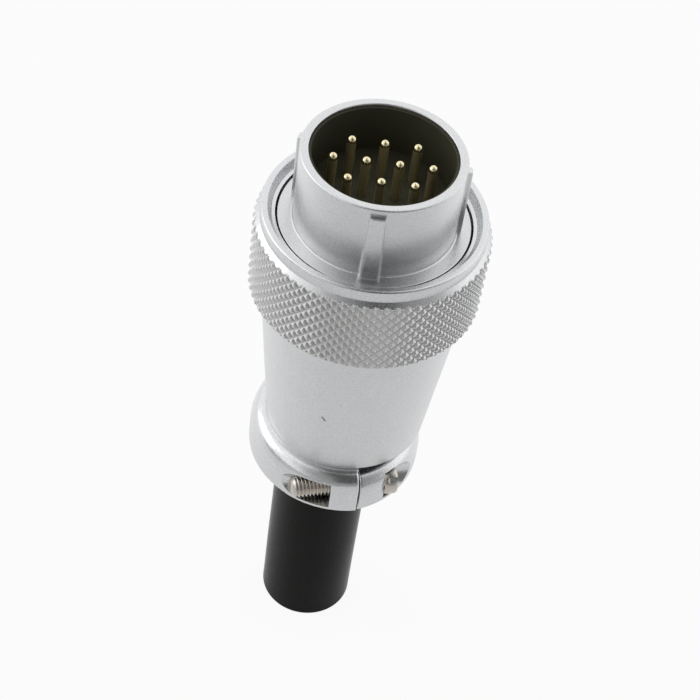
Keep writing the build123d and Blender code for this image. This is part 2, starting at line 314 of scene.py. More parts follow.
def place_group(tree, group, **values):
    """Puts a group in a material and fills its inputs."""
    made = tree.nodes.new("ShaderNodeGroup")
    made.node_tree = group
    for label, value in values.items():
        if isinstance(value, bpy.types.NodeSocket):
            tree.links.new(value, made.inputs[label])
        else:
            made.inputs[label].default_value = value
    return made.outputs


print("group helpers ready")

# %% Grain
MOTTLE_TIMES = 14.0


def grain_group():
    """Fine grain, and mottling coarser by MOTTLE_TIMES; size is the grain's own in millimetres."""
    tree, given, out = new_group("plated_grain", {"Point": None, "Size": 0.2, "Stretch": 1.0},
                                 ("Grain", "Mottle"))
    stretch = add_node(tree, "ShaderNodeCombineXYZ", {0: 1.0, 1: 1.0, 2: given["Stretch"]}).outputs[0]
    point = vector_sum(tree, "MULTIPLY", given["Point"], stretch)[0]
    scale = sum_of(tree, "DIVIDE", 1 / MM, given["Size"])
    grain = add_node(tree, "ShaderNodeTexNoise",
                     {"Vector": point, "Scale": scale, "Detail": 2.0, "Roughness": 0.6})
    coarse = sum_of(tree, "DIVIDE", scale, MOTTLE_TIMES)
    mottle = add_node(tree, "ShaderNodeTexNoise", {"Vector": point, "Scale": coarse, "Detail": 2.0})
    tree.links.new(grain.outputs[0], out["Grain"])
    tree.links.new(mottle.outputs[0], out["Mottle"])
    return tree


GRAIN = grain_group()
print("group", GRAIN.name)

# %% Pits and specks
def pits_group():
    """Casting pits: rounded hollows of uneven depth; size is a pit's spacing in millimetres."""
    tree, given, out = new_group("casting_pits", {"Point": None, "Size": 0.4}, ("Height",))
    scale = sum_of(tree, "DIVIDE", 1 / MM, given["Size"])
    cells = add_node(tree, "ShaderNodeTexVoronoi", {"Vector": given["Point"], "Scale": scale},
                     feature="SMOOTH_F1").outputs["Distance"]
    waves = add_node(tree, "ShaderNodeTexNoise",
                     {"Vector": given["Point"], "Scale": scale, "Detail": 3.0}).outputs[0]
    height = sum_of(tree, "ADD", product(tree, cells, 0.6), waves)
    tree.links.new(height, out["Height"])
    return tree


def specks_group():
    """Scattered specks: cells whose random value is below the share, cut to dots of a radius."""
    tree, given, out = new_group("handling_specks",
                                 {"Point": None, "Spacing": 3.0, "Radius": 0.06, "Share": 0.2}, ("Mask",))
    scale = sum_of(tree, "DIVIDE", 1 / MM, given["Spacing"])
    cells = add_node(tree, "ShaderNodeTexVoronoi", {"Vector": given["Point"], "Scale": scale})
    size = sum_of(tree, "DIVIDE", given["Radius"], given["Spacing"])
    far = sum_of(tree, "DIVIDE", cells.outputs["Distance"], size)
    dot = ramp(tree, far, 1.0, 0.6)
    chance = add_node(tree, "ShaderNodeSeparateColor", {0: cells.outputs["Color"]}).outputs[0]
    chosen = sum_of(tree, "LESS_THAN", chance, given["Share"])
    tree.links.new(product(tree, dot, chosen), out["Mask"])
    return tree


PITS, SPECKS = pits_group(), specks_group()
print("groups", PITS.name, "and", SPECKS.name)

# %% [markdown]
# ## Satin plating over a casting
# The metal pieces are die castings with a satin plating. Where a tool has turned them the skin is smooth
# and even, where the mould's skin was left it is shinier and pitted, and a rolled knurl is burnished, with
# painted shade deep in its grooves. Two materials with a hard border could do this, but on the clamp the
# border wanders, so one material holds all and masks share them out. They are worked out from the place: on
# the clamp, everything inside its turned outer wall is cast, and on the nut, everything below the chamfer
# that ends the knurl is rolled. Single marks of wear, and of painted shade, lie along straight lines between
# two places.

# %% Starting and finishing a material
def start_material(name):
    """A material's tree, its shader and the place on the object."""
    material = bpy.data.materials.new(name)
    material.use_nodes = True
    tree = material.node_tree
    point = add_node(tree, "ShaderNodeTexCoord").outputs["Object"]
    return material, tree, tree.nodes["Principled BSDF"], point


def finish_surface(tree, shader, color, roughness, height, depth_mm):
    """Links colour, roughness and a bump whose height is given in millimetres."""
    for name, value in (("Base Color", color), ("Roughness", roughness)):
        if isinstance(value, bpy.types.NodeSocket):
            tree.links.new(value, shader.inputs[name])
        else:
            shader.inputs[name].default_value = value
    bump = add_node(tree, "ShaderNodeBump", {"Height": height, "Distance": depth_mm * MM, "Strength": 1.0})
    tree.links.new(bump.outputs[0], shader.inputs["Normal"])


def shared(tree, share, plain, other):
    """Value that goes from a plain one to another by a share."""
    return add_node(tree, "ShaderNodeMapRange", {0: share, 3: plain, 4: other}).outputs[0]


print("material helpers ready")

# %% Masks worked out from the place
CAST_WANDER = 0.05


def below(tree, z, level):
    """One below a level in millimetres, with a soft border."""
    return ramp(tree, z, (level + 0.02) * MM, (level - 0.02) * MM)


def from_axis(tree, point, centre=(0.0, 0.0)):
    """Distance from an upright axis whose place is given in millimetres."""
    apart = vector_sum(tree, "SUBTRACT", point, (centre[0] * MM, centre[1] * MM, 0.0))[0]
    return vector_sum(tree, "LENGTH", vector_sum(tree, "MULTIPLY", apart, (1.0, 1.0, 0.0))[0])["Value"]


def clamp_mask(tree, point, centre, outer_r, top_z, noise):
    """One where the clamp's mould skin was left: below its top and inside its turned wall."""
    r = sum_of(tree, "ADD", from_axis(tree, point, centre), product(tree, noise, CAST_WANDER * MM))
    inside = ramp(tree, r, (outer_r + 0.01) * MM, (outer_r - 0.03) * MM)
    return product(tree, inside, below(tree, parts_of(tree, point)[2], top_z))


def groove_shade_mask(tree, point, tip_r, depth):
    """One at the bottom of a knurl's grooves, where painted shade goes, and nothing halfway up them or on
    what lies further in.
    """
    r = from_axis(tree, point)
    low = ramp(tree, r, (tip_r - 0.55 * depth) * MM, (tip_r - 0.95 * depth) * MM)
    return product(tree, low, ramp(tree, r, (tip_r - 1.3 * depth) * MM, (tip_r - 1.05 * depth) * MM))


def mark_mask(tree, point, start, end, width):
    """One near the straight line between two places, tapering over its width in millimetres."""
    line = Vector(end) - Vector(start)
    apart = vector_sum(tree, "SUBTRACT", point, tuple(Vector(start) * MM))[0]
    along = vector_sum(tree, "DOT_PRODUCT", apart, tuple(line / line.length_squared / MM))["Value"]
    share = sum_of(tree, "ADD", along, 0.0, clamp=True)
    foot = add_node(tree, "ShaderNodeVectorMath", {0: tuple(line * MM), "Scale": share}, operation="SCALE")
    off = vector_sum(tree, "DISTANCE", apart, foot.outputs[0])["Value"]
    return ramp(tree, off, 0.5 * width * MM, 0.25 * width * MM)


print("masks ready")

# %% Plated metal
PLATE_BRIGHT, PLATE_DEEP, PLATE_MOTTLE = 0.78, 0.66, 0.03
PLATE_COOL = -0.012
GRAIN_HEIGHT, PLATE_BUMP = 0.30, 0.03
SPECK_SHARE, SPECK_GREY, MARK_GREY = 0.55, 0.16, 0.10
CAST_ROUGHNESS, CAST_DEPTH, PIT_SIZE = 0.17, 0.34, 0.28
# The groove grey is painted shade, laid deep in the knurl's grooves.
ROLLED_ROUGHNESS, GROOVE_SHADE_GREY = 0.16, 0.60


def plated(name, clamp=None, knurl=None, marks=(), roughness=0.33, grain_size=0.16):
    """Satin plating.

    Clamp gives the centre, radius and top of the cast skin, knurl its top, radius and depth, and each of
    the marks, of wear and of painted shade, its two ends, width and strength.
    """
    material, tree, shader, point = start_material(name)
    shader.inputs["Metallic"].default_value = 1.0
    fine = place_group(tree, GRAIN, Point=point, Size=grain_size)
    dirt = place_group(tree, SPECKS, Point=point, Spacing=2.6, Radius=0.07, Share=0.12)["Mask"]
    greys = [(grey(level, PLATE_COOL), grey(level + PLATE_MOTTLE, PLATE_COOL))
             for level in (PLATE_DEEP, PLATE_BRIGHT)]
    deep, bright = (blend_colors(tree, fine["Mottle"], *pair) for pair in greys)
    color = blend_colors(tree, ramp(tree, fine["Grain"], 0.38, 0.62), deep, bright)
    color = blend_colors(tree, product(tree, dirt, SPECK_SHARE), color, grey(SPECK_GREY, 0.05))
    # Each mark darkens the colour: the housing's marks are wear, and the key's marks are painted shade.
    for start, end, width, strength in marks:
        wear_and_shade = product(tree, mark_mask(tree, point, start, end, width), strength)
        color = blend_colors(tree, wear_and_shade, color, grey(MARK_GREY, 0.03))
    rough = ramp(tree, fine["Grain"], 0.3, 0.7, roughness - 0.05, roughness + 0.07)
    height = product(tree, fine["Grain"], GRAIN_HEIGHT)
    if clamp:
        pits = place_group(tree, PITS, Point=point, Size=PIT_SIZE)["Height"]
        cast = clamp_mask(tree, point, *clamp, fine["Mottle"])
        rough = shared(tree, cast, rough, CAST_ROUGHNESS)
        height = sum_of(tree, "ADD", height, product(tree, product(tree, pits, cast), CAST_DEPTH))
    if knurl:
        top, tip_r, depth = knurl
        rolled = below(tree, parts_of(tree, point)[2], top)
        rough = shared(tree, rolled, rough, ROLLED_ROUGHNESS)
        # Painted shade: the colour is darkened at the bottom of the knurl's grooves.
        groove_shade = product(tree, rolled, groove_shade_mask(tree, point, tip_r, depth))
        color = blend_colors(tree, groove_shade, color, grey(GROOVE_SHADE_GREY, 0.03))
    finish_surface(tree, shader, color, rough, height, PLATE_BUMP)
    return material


print("plated metal ready")

# %% [markdown]
# ## The other finishes
# The pins are gold over brass, polished at the tip and satin on the shaft. The cup is moulded in a dark
# olive plastic with a dull sheen. The sleeve is rubber, so it is matt, dusty and a little lighter where it
# is seen edge on. The screws are nickel, which is warmer than the plating beside it. Each finish could be
# one colour, but the eye reads a material by its small changes, so each gets grain, mottling or dust of its
# own.

# %% Screws, springs and pins
def nickel(name, tint, roughness):
    """Warm turned metal with faint marks round it."""
    material, tree, shader, point = start_material(name)
    shader.inputs["Metallic"].default_value = 1.0
    fine = place_group(tree, GRAIN, Point=point, Size=0.12)
    color = blend_colors(tree, fine["Mottle"], tuple(0.82 * c for c in tint) + (1,), tint + (1,))
    rough = ramp(tree, fine["Grain"], 0.2, 0.8, roughness - 0.06, roughness + 0.08)
    finish_surface(tree, shader, color, rough, fine["Grain"], 0.002)
    return material


PIN_TOP = span("contact_pin_01")[1][2]
POLISHED_LENGTH, SHAFT_ROUGHNESS = 0.75, 0.40


def contact_gold(name):
    """Gold with faint drawing marks along the pin: polished at the tip, satin on the shaft."""
    material, tree, shader, point = start_material(name)
    shader.inputs["Metallic"].default_value = 1.0
    marks = place_group(tree, GRAIN, Point=point, Size=0.06, Stretch=0.05)
    color = blend_colors(tree, marks["Mottle"], (0.80, 0.70, 0.42, 1), (0.90, 0.82, 0.56, 1))
    rough = ramp(tree, marks["Grain"], 0.3, 0.7, 0.04, 0.08)
    shaft = below(tree, parts_of(tree, point)[2], PIN_TOP - POLISHED_LENGTH)
    rough = shared(tree, shaft, rough, SHAFT_ROUGHNESS)
    finish_surface(tree, shader, color, rough, marks["Grain"], 0.0008)
    return material


print("metals ready")

# %% Plastic and rubber
def cup_plastic(name):
    """Dark olive moulding with a dull sheen."""
    material, tree, shader, point = start_material(name)
    fine = place_group(tree, GRAIN, Point=point, Size=0.25)
    shader.inputs["Specular IOR Level"].default_value = 0.14
    color = blend_colors(tree, fine["Mottle"], (0.050, 0.049, 0.032, 1), (0.066, 0.064, 0.042, 1))
    rough = ramp(tree, fine["Grain"], 0.2, 0.8, 0.42, 0.56)
    finish_surface(tree, shader, color, rough, fine["Grain"], 0.004)
    return material


def sleeve_rubber(name):
    """Matt black rubber with a fine tooth, dust and pale specks."""
    material, tree, shader, point = start_material(name)
    shader.inputs["Specular IOR Level"].default_value = 0.08
    shader.inputs["Sheen Weight"].default_value = 0.70
    shader.inputs["Sheen Roughness"].default_value = 0.18
    tooth = place_group(tree, GRAIN, Point=point, Size=0.3)
    dust = place_group(tree, SPECKS, Point=point, Spacing=1.7, Radius=0.08, Share=0.25)["Mask"]
    color = blend_colors(tree, tooth["Mottle"], (0.0025, 0.0024, 0.0019, 1), (0.0045, 0.0044, 0.0036, 1))
    color = blend_colors(tree, product(tree, dust, 0.35), color, (0.16, 0.155, 0.15, 1))
    rough = ramp(tree, tooth["Grain"], 0.2, 0.8, 0.26, 0.38)
    finish_surface(tree, shader, color, rough, tooth["Grain"], 0.012)
    return material


print("plastic and rubber ready")

# %% [markdown]
# ## Turned pieces as grids
# Every turned piece is one closed grid: an outline of radius and height, carried round the axis. A lathe
# tool in Blender could spin a curve, but a grid of numbers can also be bent by a formula before it becomes
# a mesh, which is how the knurl, the keys and the threads are made. Sharp corners would look like paper, so
# each corner of an outline is rounded, with a support point on both sides that keeps the flats flat.

# %% Outlines
SUPPORT = 0.05


def rounded(corners, closed=True, steps=4):
    """Outline whose corners (r, z, radius) are turned into arcs.

    With h as half the corner's angle, an arc starts at radius / tan(h) from the corner, and its centre lies
    at radius / sin(h) along the corner's middle line. A corner of radius 0 stays a point.
    """
    points = np.array([corner[:2] for corner in corners], float)
    outline = []
    for i, (here, radius) in enumerate(zip(points, [corner[2] for corner in corners])):
        if radius == 0 or (not closed and i in (0, len(points) - 1)):
            outline.append(here[None])
            continue
        back = points[i - 1] - here
        on = points[(i + 1) % len(points)] - here
        back, on = back / np.linalg.norm(back), on / np.linalg.norm(on)
        half = np.arccos(np.clip(back @ on, -1, 1)) / 2
        middle = (back + on) / np.linalg.norm(back + on)
        centre = here + middle * radius / np.sin(half)
        start, end = here + back * radius / np.tan(half), here + on * radius / np.tan(half)
        first, last = (np.arctan2(*(p - centre)[::-1]) for p in (start, end))
        angles = first + np.linspace(0, 1, steps + 1) * ((last - first + pi) % (2 * pi) - pi)
        arc = centre + radius * np.stack([np.cos(angles), np.sin(angles)], -1)
        outline += [(start + back * SUPPORT)[None], arc, (end + on * SUPPORT)[None]]
    return np.concatenate(outline)


def carried(r, z, azimuths, axis=(0.0, 0.0)):
    """Grid of points from radii, heights and degrees from the front: x is r sin, and y is -r cos."""
    turn = np.radians(azimuths)
    x, y, z = np.broadcast_arrays(axis[0] + r * np.sin(turn), axis[1] - r * np.cos(turn), z)
    return np.stack([x, y, z], -1)


print("outline tools ready")

# %% Arrays into a mesh
def new_mesh(name, points, squares, triangles):
    """Smooth mesh object from arrays of points and faces."""
    mesh = bpy.data.meshes.new(name)
    sizes = np.r_[np.full(len(squares), 4), np.full(len(triangles), 3)].astype(int)
    corners = np.concatenate([squares.ravel(), triangles.ravel()])
    mesh.vertices.add(len(points))
    mesh.vertices.foreach_set("co", points.ravel())
    mesh.loops.add(len(corners))
    mesh.loops.foreach_set("vertex_index", corners)
    mesh.polygons.add(len(sizes))
    mesh.polygons.foreach_set("loop_start", np.r_[0, np.cumsum(sizes)[:-1]])
    mesh.update(calc_edges=True)
    mesh.validate()
    mesh.shade_smooth()
    made = bpy.data.objects.new(name, mesh)
    bpy.context.scene.collection.objects.link(made)
    print(name, "points", len(points), "triangles", int((sizes - 2).sum()))
    return made


print("mesh tool ready")

# %% Grids into meshes
def mesh_from_grid(name, grid, ring=True, slant=None):
    """Closed smooth mesh from a grid (rows, columns, 3) in millimetres.

    Columns meet round the piece. Rows meet too in a ring, or else the first and last rows are poles and
    become one point each. Slant says, cell by cell, which way its square is cut into triangles.
    """
    rows, columns = grid.shape[:2]
    index = np.arange(rows * columns).reshape(rows, columns)
    points = grid.reshape(-1, 3) * MM
    low, high = (index, np.roll(index, -1, 0)) if ring else (index[1:-2], index[2:-1])
    a, b, c, d = low, np.roll(low, -1, 1), np.roll(high, -1, 1), high
    squares = np.stack([a, b, c, d], -1).reshape(-1, 4)
    triangles = np.zeros((0, 3), int)
    if slant is not None:
        cut = slant.reshape(-1, 1)
        triangles = np.concatenate([np.where(cut, squares[:, [0, 1, 3]], squares[:, [0, 1, 2]]),
                                    np.where(cut, squares[:, [1, 2, 3]], squares[:, [0, 2, 3]])])
        squares = squares[:0]
    if not ring:
        foot, top = index[1], index[-2]
        fans = [np.stack([np.full(columns, index[0, 0]), np.roll(foot, -1), foot], -1),
                np.stack([np.full(columns, index[-1, 0]), top, np.roll(top, -1)], -1)]
        triangles = np.concatenate([triangles] + fans)
        used = np.r_[index[0, 0], index[1:-1].ravel(), index[-1, 0]]
        renumber = np.zeros(rows * columns, int)
        renumber[used] = np.arange(len(used))
        points, squares, triangles = points[used], renumber[squares], renumber[triangles]
    fan = np.concatenate([squares[:, [0, 1, 2]], squares[:, [0, 2, 3]], triangles])
    volume = np.einsum("ij,ij->", points[fan[:, 0]], np.cross(points[fan[:, 1]], points[fan[:, 2]]))
    if volume < 0:
        squares, triangles = squares[:, ::-1], triangles[:, ::-1]
    return new_mesh(name, points, squares, triangles)


print("grid tool ready")

# %% Standing for a solid
def take_place(piece, body, node, material):
    """Lets a piece stand for a solid: it joins the same body, with its finish, and the solid is hidden."""
    piece.data.materials.append(material)
    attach(piece, body)
    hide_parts(node)


print("skins may replace solids now")

# %% [markdown]
# ## Knurled coupling nut
# A knurl is rolled by two wheels that press slanting grooves, one set each way, and what is left between
# them is a field of small pyramids with worn tips. It could be a bump, but its outline against the
# background would then be smooth, so it is real shape. With the two groove counts a and b rising along the
# two slants, the height of a point is the smaller of its distances to the nearest whole a and whole b. The
# grid is laid so that its diagonals run along the grooves, and each cell is cut along the one it is nearer
# to.

# %% Nut sizes
NUT_LOW, NUT_HIGH = span("coupling_nut")
KNURL_R = NUT_HIGH[0]
NUT_FOOT, NUT_TOP = NUT_LOW[2], NUT_HIGH[2]
KNURL_COUNT, KNURL_RISE, KNURL_DEPTH = 70, 0.73, 0.38
KNURL_COLUMNS, KNURL_ROWS = 8, 4
TIP_FLAT, TIP_UNEVEN = 0.84, 0.04
COLLAR_HEIGHT, COLLAR_STEP = 1.60, 0.85
FOOT_CHAMFER, SKIRT_WALL = 0.55, 1.4
RIM_WIDTH, LEDGE_STEP, THREAD_STEP = 0.85, 1.42, 1.8
LEDGE_DEPTH, CREST_RISE = 1.1, 0.06
RELIEF_DEPTH, RELIEF_HEIGHT = 0.3, 1.4
LIP_OVERHANG, LIP_THICKNESS = 1.02, 1.6
THREAD_PITCH, THREAD_DEPTH, THREAD_ROWS = 1.0, 0.5, 7
BAND_TOP = NUT_TOP - COLLAR_HEIGHT
COLLAR_FLOOR = BAND_TOP - 0.2
KNURL_TOP = BAND_TOP - COLLAR_STEP + 0.1
FACE_R = KNURL_R - COLLAR_STEP
MOUTH_R, LEDGE_R, THREAD_R = FACE_R - RIM_WIDTH, FACE_R - LEDGE_STEP, FACE_R - THREAD_STEP
CREST_R = THREAD_R - CREST_RISE
LEDGE_Z = NUT_TOP - LEDGE_DEPTH
WASHER_Z = span("nut_washer")[0][2]
RELIEF_R, RELIEF_Z = THREAD_R + RELIEF_DEPTH, WASHER_Z + RELIEF_HEIGHT
LIP_R, LIP_Z = span("nut_washer")[1][0] - LIP_OVERHANG, WASHER_Z - LIP_THICKNESS
SKIRT_R = KNURL_R - SKIRT_WALL


def to_nearest(value):
    """Distance from a value to the nearest whole number."""
    return np.abs(value - np.round(value))


def scatter(a, b):
    """Repeatable random share for each whole pair, from the fraction of a large sine."""
    wave = np.sin(a * 12.9898 + b * 78.233) * 43758.5453
    return wave - np.floor(wave)


print("nut foot", NUT_FOOT, "top", NUT_TOP, "knurl radius", round(float(KNURL_R), 3))

# %% Nut outline
def nut_outline():
    """Rows of the nut: knurled band upward, then over the collar, down the inside and under the skirt."""
    band_step = KNURL_RISE / KNURL_ROWS
    band = NUT_FOOT + np.arange(int((COLLAR_FLOOR - NUT_FOOT) / band_step) + 1) * band_step
    limit = np.minimum(KNURL_R - FOOT_CHAMFER + band - NUT_FOOT, FACE_R + BAND_TOP - band)
    upper = rounded([(FACE_R + BAND_TOP - COLLAR_FLOOR, COLLAR_FLOOR, 0), (FACE_R, BAND_TOP, 0.05),
                     (FACE_R, NUT_TOP, 0.28), (MOUTH_R, NUT_TOP, 0.1), (LEDGE_R, LEDGE_Z, 0.05),
                     (CREST_R, LEDGE_Z - 0.08, 0.03), (CREST_R, LEDGE_Z - 0.2, 0.03),
                     (THREAD_R, LEDGE_Z - 0.25, 0)], closed=False)
    count = int((LEDGE_Z - RELIEF_Z - 0.6) * THREAD_ROWS / THREAD_PITCH)
    thread_z = np.linspace(LEDGE_Z - 0.35, RELIEF_Z + 0.3, count)
    thread = np.stack([np.full(count, THREAD_R), thread_z], -1)
    lower = rounded([(THREAD_R, RELIEF_Z + 0.25, 0), (THREAD_R, RELIEF_Z, 0.05), (RELIEF_R, RELIEF_Z, 0.05),
                     (RELIEF_R, WASHER_Z, 0.1), (LIP_R, WASHER_Z, 0.1), (LIP_R, LIP_Z, 0.1),
                     (SKIRT_R, LIP_Z, 0.2), (SKIRT_R, NUT_FOOT, 0.15),
                     (KNURL_R - FOOT_CHAMFER - SUPPORT, NUT_FOOT, 0)], closed=False, steps=3)
    outline = np.concatenate([np.stack([limit, band], -1), upper, thread, lower])
    return outline, len(band), slice(len(band) + len(upper), len(band) + len(upper) + count)


print("rows in the nut's outline", len(nut_outline()[0]))

# %% Knurl and thread
def coupling_nut():
    """Closed grid of the nut, with its knurl and its inner thread.

    Column j and row i lie at groove counts a = j / columns per groove + i / twice the rows per groove, and
    b with a minus. The knurl's height there is twice the smaller distance to a whole count, cut flat near
    its tip. The thread is a wave of height less turn, with a height of one pitch to the turn.
    """
    outline, band_rows, threaded = nut_outline()
    columns = KNURL_COUNT * KNURL_COLUMNS
    i, j = np.arange(len(outline))[:, None], np.arange(columns)[None]
    a = j / KNURL_COLUMNS + i / (2 * KNURL_ROWS)
    b = j / KNURL_COLUMNS - i / (2 * KNURL_ROWS)
    tip = np.minimum(2 * np.minimum(to_nearest(a), to_nearest(b)) / TIP_FLAT, 1.0)
    uneven = TIP_UNEVEN * scatter(np.floor(a) % KNURL_COUNT, np.floor(b) % KNURL_COUNT)
    r = outline[:, :1] * np.ones((1, columns))
    knurled = np.minimum(r, KNURL_R - KNURL_DEPTH * (1 - tip) - uneven * tip)
    r = np.where(i < band_rows, knurled, r)
    turn = 360 * j / columns
    z = outline[threaded, 1:]
    wave = 2 * to_nearest(z / THREAD_PITCH - turn / 360)
    fade = np.clip(np.minimum(z - z.min(), z.max() - z) / 0.5, 0, 1)
    r[threaded] += THREAD_DEPTH * np.clip(1.25 * wave - 0.125, 0, 1) * fade
    grid = carried(r, outline[:, 1:], turn + 90)
    made = mesh_from_grid("coupling_nut_skin", grid, slant=to_nearest(a) < to_nearest(b))
    cells = len(outline) * columns
    smooth = np.tile(np.arange(cells) >= (band_rows - 1) * columns, 2)
    made.data.polygons.foreach_set("use_smooth", smooth)
    return made


nut_plating = plated("nut_plating", knurl=(KNURL_TOP, KNURL_R, KNURL_DEPTH), roughness=0.25)
take_place(coupling_nut(), "coupling_nut", "coupling_nut", nut_plating)

# %% [markdown]
# ## Keyed barrel
# The barrel is cast with five keys that let it enter its receptacle one way only. The wide one widens
# towards its foot, and painted shade darkens its two ends. Keys could be separate boxes sunk into the
# barrel, but then the light would show a seam, so the barrel's own skin rises over them. Columns of the
# grid crowd along each flank and follow it, and the radius there is the larger of the barrel's own and the
# key's.

# %% Barrel sizes
SHELL_LOW, SHELL_HIGH = span("plug_shell")
FLANGE_STEP, NECK_STEP, TAIL_STEP = 1.9, 0.9, 1.6
BARREL_WALL, TAIL_WALL = 1.1, 1.0
BARREL_HEIGHT, FLANGE_THICKNESS, SEAT_DEPTH = 10.6, 2.0, 9.7
RING_DEPTH, RING_ROOM = 0.45, 0.05
KEY_HEIGHT, KEY_SETBACK = 0.6, 0.95
FLANGE_R = SHELL_HIGH[0]
BARREL_R = FLANGE_R - FLANGE_STEP
NECK_R, TAIL_R = FLANGE_R - NECK_STEP, FLANGE_R - TAIL_STEP
FRONT_BORE_R, REAR_BORE_R = BARREL_R - BARREL_WALL, TAIL_R - TAIL_WALL
BARREL_FOOT = RIM_Z - BARREL_HEIGHT
FLANGE_FOOT = BARREL_FOOT - FLANGE_THICKNESS
SEAT_Z = RIM_Z - SEAT_DEPTH
RING_LOW, RING_HIGH = span("insulator_ring")[0][2] - RING_ROOM, span("insulator_ring")[1][2] + RING_ROOM
GROOVE_R = REAR_BORE_R + RING_DEPTH
KEY_TOP = RIM_Z - KEY_SETBACK
print("barrel radius", round(float(BARREL_R), 2), "foot", round(float(BARREL_FOOT), 2))

# %% Columns that follow the keys
KEY_END = np.array([-5.0, -0.5, -0.14, -0.09, -0.05, -0.02, 0.0, 0.010, 0.012])
KEY_END_SHARE = np.array([1.0, 1.0, 1.0, 0.98, 0.93, 0.86, 0.74, 0.03, 0.0])
KEYS = ((-140, 1.1, 1.1), (-103, 1.1, 1.1), (0, 1.8, 2.4), (90, 1.1, 1.1), (145, 1.1, 1.1))
FLANK = np.array([-0.10, -0.055, 0.0, 0.055, 0.10])
FLANK_SHARE = np.array([0.0, 0.07, 0.5, 0.93, 1.0])
KEY_MIDDLE, GAP_STEP = 5, 1.0


def key_columns(z):
    """Azimuths of the columns at each height, and each column's share of a key's height.

    A key's half width goes evenly from its top's to its foot's. Each flank has columns of its own, others
    are spread evenly over the key, and the rest fill the gap to the next key.
    """
    down = np.clip((KEY_TOP - z) / (KEY_TOP - BARREL_FOOT), 0, 1)[:, None]
    degrees_per_mm = 180 / pi / BARREL_R
    flank = FLANK * degrees_per_mm
    parts, shares = [], []
    for n, (middle, top_width, foot_width) in enumerate(KEYS):
        half = (top_width + (foot_width - top_width) * down) / 2 * degrees_per_mm
        inner = np.linspace(-1, 1, KEY_MIDDLE + 2)[1:-1] * (half - flank[-1])
        parts += [middle - half + flank, middle + inner, middle + half + flank]
        shares += [FLANK_SHARE, np.ones(KEY_MIDDLE), FLANK_SHARE[::-1]]
        following = KEYS[(n + 1) % len(KEYS)]
        start = parts[-1][:, -1:]
        following_half = (following[1] + (following[2] - following[1]) * down) / 2 + FLANK[-1]
        end = (following[0] - middle) % 360 + middle - following_half * degrees_per_mm
        count = int(round(float((end - start).min()) / GAP_STEP))
        parts.append(start + (end - start) * np.linspace(0, 1, count + 2)[1:-1])
        shares.append(np.zeros(count))
    return np.concatenate(parts, 1), np.concatenate(shares)


print("columns round the barrel", len(key_columns(np.array([RIM_Z]))[1]))

# %% Barrel, flange and neck
def plug_shell():
    """Closed grid of the shell.

    On the barrel's outside the radius is the barrel's own plus the key's height times the column's share
    across the key and the row's share along it, wherever that is more than the outline's.
    """
    key_rows = [(BARREL_R, KEY_TOP + rise, 0) for rise in KEY_END]
    outside = [(TAIL_R, SHELL_LOW[2], 0.3), (TAIL_R, LIP_Z, 0.05), (NECK_R, LIP_Z, 0.1),
               (NECK_R, FLANGE_FOOT, 0.05), (FLANGE_R, FLANGE_FOOT, 0.1),
               (FLANGE_R, BARREL_FOOT, 0.12), (BARREL_R, BARREL_FOOT, 0.25)]
    inside = [(BARREL_R, RIM_Z, 0.2), (FRONT_BORE_R, RIM_Z, 0.15), (FRONT_BORE_R, SEAT_Z, 0.05),
              (REAR_BORE_R, SEAT_Z, 0.05), (REAR_BORE_R, RING_HIGH, 0.05), (GROOVE_R, RING_HIGH, 0.05),
              (GROOVE_R, RING_LOW, 0.05), (REAR_BORE_R, RING_LOW, 0.05), (REAR_BORE_R, SHELL_LOW[2], 0.2)]
    outline = rounded(outside + key_rows + inside, steps=5)
    azimuths, shares = key_columns(outline[:, 1])
    key_r = BARREL_R + KEY_HEIGHT * shares * np.interp(outline[:, 1:], KEY_TOP + KEY_END, KEY_END_SHARE)
    on_barrel = (outline[:, 0] > BARREL_R - 0.01) & (outline[:, 1] > BARREL_FOOT - 0.01)
    r = np.where(on_barrel[:, None], np.maximum(outline[:, :1], key_r), outline[:, :1])
    return mesh_from_grid("plug_shell_skin", carried(r, outline[:, 1:], azimuths))


# Painted shade: dark marks across the wide key's top end and on the flange in front of its foot.
KEY_END_SHADE = (((-0.78, -BARREL_R - 0.3, KEY_TOP), (0.78, -BARREL_R - 0.3, KEY_TOP), 0.5, 0.6),
             ((-0.95, -BARREL_R - 1.1, BARREL_FOOT), (0.95, -BARREL_R - 1.1, BARREL_FOOT), 0.9, 0.35))
take_place(plug_shell(), "connector_body", "plug_shell",
           plated("shell_plating", marks=KEY_END_SHADE, roughness=0.32))

# %% [markdown]
# ## Clamp screws
# Each screw has a rolled thread of half a millimetre pitch, a domed tip and a low slotted head. A thread
# could be a stack of rings, but the eye catches rings that don't climb, so the ridge's height at a point is
# a wave of its distance along the screw less its turn. The head can't be turned, because of its slot. It is
# sliced like bread instead, in planes along the slot: a slice is as wide as the head's circle there, and
# the slices inside the slot are cut down to its floor.

# %% Screw sizes
CLAMP_TURN = 15.0
SCREW_R, SCREW_PITCH, SCREW_THREAD = 1.5, 0.5, 0.27
HEAD_R, HEAD_HEIGHT, HEAD_EDGE = 2.0, 1.9, 0.5
SLOT_WIDTH, SLOT_DEPTH, SLOT_TURN = 0.8, 1.2, -45.0
SCREW_COLUMNS, SCREW_ROWS = 64, 14
TIP_DOME, TIP_FADE, SHANK_SUNK = 1.1, 0.4, 0.4


